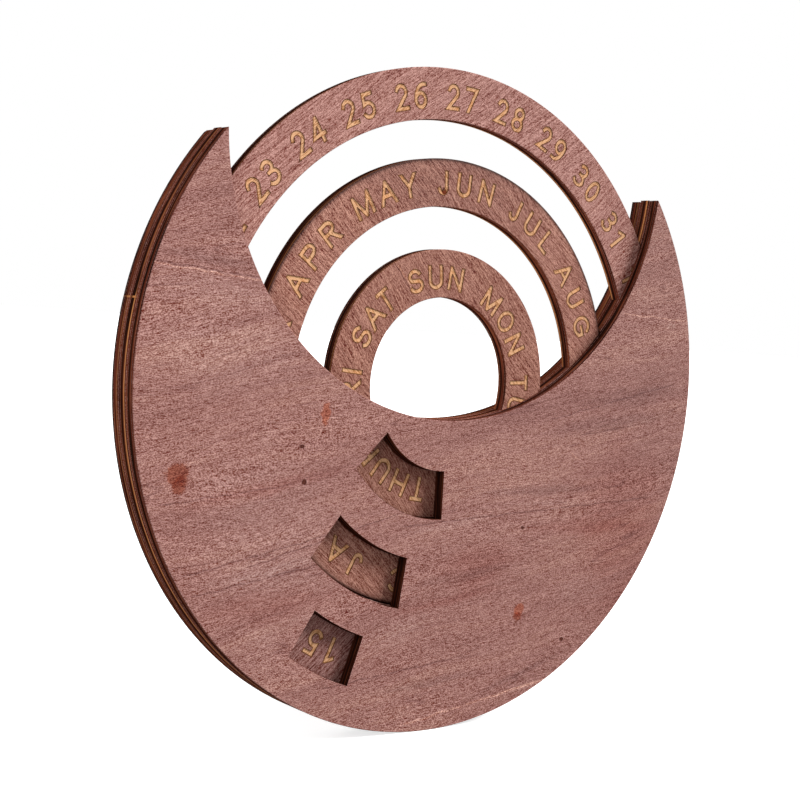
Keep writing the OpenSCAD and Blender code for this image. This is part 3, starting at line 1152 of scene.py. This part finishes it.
class CALENDAR_OT_spacers(bpy.types.Operator):
    """Builds the three curved spacers and the hub of the middle layer"""

    bl_idname = "calendar.spacers"
    bl_label = "Spacers"

    def execute(self, context):
        sizes = context.scene.calendar_sizes
        finish = context.scene.calendar_finish
        veneer = veneer_material("spacer_veneer", finish, grain=40, shift=(60, 0, 90))
        neighbours = {"outer_spacer": "date_ring", "date_month_spacer": "month_ring",
                      "month_weekday_spacer": "weekday_ring", "hub": None}
        gap = node_radii("outer_spacer")[0] - node_radii("date_ring")[1]
        for node, ring in neighbours.items():
            outer = min(node_radii(node)[1], body_radius())
            inner = node_radii(ring)[1] + gap if ring else None
            build_board(context, node,
                        lambda bm, y, o=outer, i=inner: crescent_outline(bm, sizes, y, o, i),
                        veneer, tan_strength=1.0 if node == "outer_spacer" else 0.1)
        return {"FINISHED"}


def build_ring(context, node, text, height, radius, spacing, grain, shift, dye, spots=(), bands=(),
               seams=(), smoky=False, tan_strength=1.0, text_offset=(0.0, 0.0)):
    """Makes a ring, engraves a text round it and gives it its materials.

    The spacing is the text's start and its gaps between letters and between words, in degrees.
    """
    sizes = context.scene.calendar_sizes
    dials = context.scene.calendar_dials
    finish = context.scene.calendar_finish
    front, back = board_depths(node)
    inner, outer = node_radii(node)
    start, letter_gap, word_gap = (math.radians(angle) for angle in spacing)
    layout = list(spread_layout(text, height, radius, start, letter_gap, word_gap))

    def draw(bm):
        ring_mesh(bm, sizes, inner, outer - SKIN, front, back)
        engrave(bm, dials, layout, height, radius, front, text_offset)

    piece = mesh_object(node + "_engraved", draw)
    veneer = veneer_material(node + "_veneer", finish, grain, shift, streaking=0.2, fibre=1.2,
                             stripes=0.6, dye=dye, spots=spots, bands=bands, seams=seams,
                             smoked=outer / MM if smoky else None)
    edge = edge_material(node + "_edge", finish, sizes, front, back, tan_depth=0.86,
                         tan_strength=tan_strength, light=1.5)
    outer_edge = edge_material(node + "_outer_edge", finish, sizes, front, back, tan_depth=0.12,
                               tan_strength=0.22, light=0.35)
    wall = bpy.data.materials.get("engraving_wall") or recess_wall_material(finish)
    floor = recess_floor_material(node + "_engraving", finish, grain, spots)
    finish_piece(piece, node, "ring_wood", [veneer, edge, outer_edge, wall, floor])


class CALENDAR_OT_date_ring(bpy.types.Operator):
    """Builds the outer ring with the dates 1 to 31"""

    bl_idname = "calendar.date_ring"
    bl_label = "Date Ring"

    def execute(self, context):
        build_ring(context, "date_ring", DATES, context.scene.calendar_dials.date_height,
                   radius=61.3 * MM, spacing=(27.84, 1.41, 5.14), grain=38, shift=(20, 0, -60),
                   dye=(1.18, 1.18, 1.16),
                   # Two dark bands where the date window shows the ring at rest: painted shade of the
                   # window's recess.
                   bands=[("dusk", -27, 20, 44, 22, 30), ("dusk", -20, 18, 44, 22, 30)])
        return {"FINISHED"}


class CALENDAR_OT_month_ring(bpy.types.Operator):
    """Builds the middle ring with the twelve months"""

    bl_idname = "calendar.month_ring"
    bl_label = "Month Ring"

    def execute(self, context):
        build_ring(context, "month_ring", MONTHS, context.scene.calendar_dials.month_height,
                   radius=43.07 * MM, spacing=(245.1, 3.35, 7.65), grain=-39, shift=(-35, 0, 15),
                   dye=(1.04, 0.96, 0.83), spots=[("knot", -2.5, 116.2, 1.5, 1.5)],
                   bands=[("dusk", 0, 122, 90, 36, 0)], smoky=True)
        return {"FINISHED"}


class CALENDAR_OT_weekday_ring(bpy.types.Operator):
    """Builds the inner ring with the seven weekdays"""

    bl_idname = "calendar.weekday_ring"
    bl_label = "Weekday Ring"

    def execute(self, context):
        build_ring(context, "weekday_ring", WEEKDAYS, context.scene.calendar_dials.weekday_height,
                   radius=23.0 * MM, spacing=(60.5, 4.1, 12.9), grain=-48, shift=(75, 0, 33),
                   dye=(0.95, 0.86, 0.73), tan_strength=0.2, text_offset=(-0.5 * MM, 0.0),
                   seams=[("seam", -14.6, 100.6, 9, 0.36, -46), ("shade", -15.0, 100.3, 9, 0.24, -46)])
        return {"FINISHED"}


class CALENDAR_OT_studio(bpy.types.Operator):
    """Sets up the floor, the lights and the camera"""

    bl_idname = "calendar.studio"
    bl_label = "Studio"

    def execute(self, context):
        studio = context.scene.calendar_studio
        build_floor(context.scene.calendar_finish)
        build_world(context.scene, studio)
        build_lights(studio)
        build_camera(context.scene, studio)
        context.scene.view_settings.view_transform = "Standard"
        return {"FINISHED"}


def seen_directly(w):
    """1 where the camera sees a surface itself, and 0 for light that falls on others."""
    return w.add("ShaderNodeLightPath").outputs["Is Camera Ray"]


def build_floor(finish):
    """A pale floor that keeps a soft shadow and otherwise shows white."""
    floor = mesh_object("floor", lambda bm: bmesh.ops.create_grid(
        bm, x_segments=1, y_segments=1, size=12.0))
    material = bpy.data.materials.new("pale_floor")
    material.use_nodes = True
    w = Wiring(material.node_tree)
    matt = w.add("ShaderNodeBsdfDiffuse", {"Color": opaque(finish.floor)})
    dim = w.add("ShaderNodeBsdfDiffuse", {"Color": opaque(finish.floor, 0.45)})
    glow = w.add("ShaderNodeEmission", {"Color": WHITE, "Strength": 0.75})
    both = w.add("ShaderNodeAddShader", {0: matt.outputs[0], 1: glow.outputs[0]})
    shown = w.add("ShaderNodeMixShader", {0: seen_directly(w), 1: dim.outputs[0], 2: both.outputs[0]})
    w.feed(w.add("ShaderNodeOutputMaterial").inputs["Surface"], shown.outputs[0])
    floor.data.materials.append(material)


def build_world(scene, studio):
    """White to the camera, and an even fill on everything else."""
    world = bpy.data.worlds.new("studio")
    world.use_nodes = True
    scene.world = world
    w = Wiring(world.node_tree)
    direct = seen_directly(w)
    strength = w.math("ADD", w.math("MULTIPLY", direct, 1.0 - studio.fill), studio.fill)
    back = w.add("ShaderNodeBackground", {"Color": WHITE, "Strength": strength})
    w.feed(w.add("ShaderNodeOutputWorld").inputs["Surface"], back.outputs[0])


def add_light(name, kind, strength, towards, **settings):
    """Adds a light that shines from a direction, at a distance from the disc's centre."""
    data = bpy.data.lights.new(name, kind)
    data.energy = strength
    for setting, value in settings.items():
        setattr(data, setting, value)
    light = bpy.data.objects.new(name, data)
    light.location = DISC_CENTRE + Vector(towards)
    light.rotation_euler = Vector(towards).to_track_quat("Z", "Y").to_euler()
    light.visible_camera = False
    bpy.context.collection.objects.link(light)


def build_lights(studio):
    """A broad key from the upper right, a near soft box at the left, and a light from behind."""
    add_light("key", "SUN", studio.key, (0.68, -0.40, 0.60), angle=math.radians(30))
    add_light("side", "AREA", studio.side, (-0.25, -0.16, 0.14), size=0.22)
    add_light("rear", "SUN", studio.rear, (-0.35, 0.80, 0.50), angle=math.radians(40))


def build_camera(scene, studio):
    """The camera, to the left of the front and a little above the disc's centre."""
    data = bpy.data.cameras.new("camera")
    data.lens = studio.lens
    data.clip_start = 0.01
    camera = bpy.data.objects.new("camera", data)
    level = math.cos(studio.elevation)
    back = Vector((-math.sin(studio.azimuth) * level, -math.cos(studio.azimuth) * level,
                   math.sin(studio.elevation)))
    facing = back.to_track_quat("Z", "Y").to_matrix().to_4x4()
    place = Matrix.Translation(Vector(studio.target) + back * studio.distance)
    camera.matrix_world = place @ facing @ Matrix.Rotation(studio.roll, 4, "Z")
    bpy.context.collection.objects.link(camera)
    scene.camera = camera


class CALENDAR_PT_panel(bpy.types.Panel):
    """Lists the pieces of the calendar and their settings"""

    bl_idname = "CALENDAR_PT_panel"
    bl_label = "Perpetual Calendar"
    bl_space_type = "VIEW_3D"
    bl_region_type = "UI"
    bl_category = "Calendar"

    def draw(self, context):
        for operator in PIECES:
            self.layout.operator(operator.bl_idname)
        shown = [getattr(context.scene, group) for group in SETTINGS]
        for settings in shown + list(context.scene.calendar_windows):
            box = self.layout.box()
            for name in settings.__annotations__:
                box.prop(settings, name)


# The windows: their ring, span, bearing, tilt and taper in degrees, and margin in millimetres.
WINDOWS = (("date_ring", 14.2, 25.1, 1.0, 0.0, -0.35), ("month_ring", 30.8, 26.3, 4.5, 0.0, 0.5),
           ("weekday_ring", 54.2, 25.3, 4.5, 4.5, 0.0))

SETTINGS = {"calendar_sizes": CalendarSizes, "calendar_dials": CalendarDials,
            "calendar_finish": CalendarFinish, "calendar_studio": CalendarStudio}
PIECES = (CALENDAR_OT_front_plate, CALENDAR_OT_back_plate, CALENDAR_OT_spacers,
          CALENDAR_OT_date_ring, CALENDAR_OT_month_ring, CALENDAR_OT_weekday_ring,
          CALENDAR_OT_studio)


def add_windows(scene):
    """Gives the scene its three windows."""
    for ring, span, bearing, tilt, taper, margin in WINDOWS:
        window = scene.calendar_windows.add()
        window.ring = ring
        window.span, window.bearing, window.tilt, window.taper = (
            math.radians(angle) for angle in (span, bearing, tilt, taper))
        window.margin = margin * MM


def register():
    """Registers the settings, the operators and the panel."""
    bpy.utils.register_class(CalendarWindow)
    bpy.types.Scene.calendar_windows = bpy.props.CollectionProperty(type=CalendarWindow)
    for name, group in SETTINGS.items():
        bpy.utils.register_class(group)
        setattr(bpy.types.Scene, name, bpy.props.PointerProperty(type=group))
    for operator in PIECES:
        bpy.utils.register_class(operator)
    bpy.utils.register_class(CALENDAR_PT_panel)


def unregister():
    """Takes everything that register added away again."""
    bpy.utils.unregister_class(CALENDAR_PT_panel)
    for operator in reversed(PIECES):
        bpy.utils.unregister_class(operator)
    for name, group in reversed(SETTINGS.items()):
        delattr(bpy.types.Scene, name)
        bpy.utils.unregister_class(group)
    del bpy.types.Scene.calendar_windows
    bpy.utils.unregister_class(CalendarWindow)


def main():
    """Builds the calendar and its studio."""
    register()
    add_windows(bpy.context.scene)
    bpy.ops.calendar.front_plate()
    bpy.ops.calendar.back_plate()
    bpy.ops.calendar.spacers()
    bpy.ops.calendar.date_ring()
    bpy.ops.calendar.month_ring()
    bpy.ops.calendar.weekday_ring()
    bpy.ops.calendar.studio()


if __name__ == "__main__":
    main()
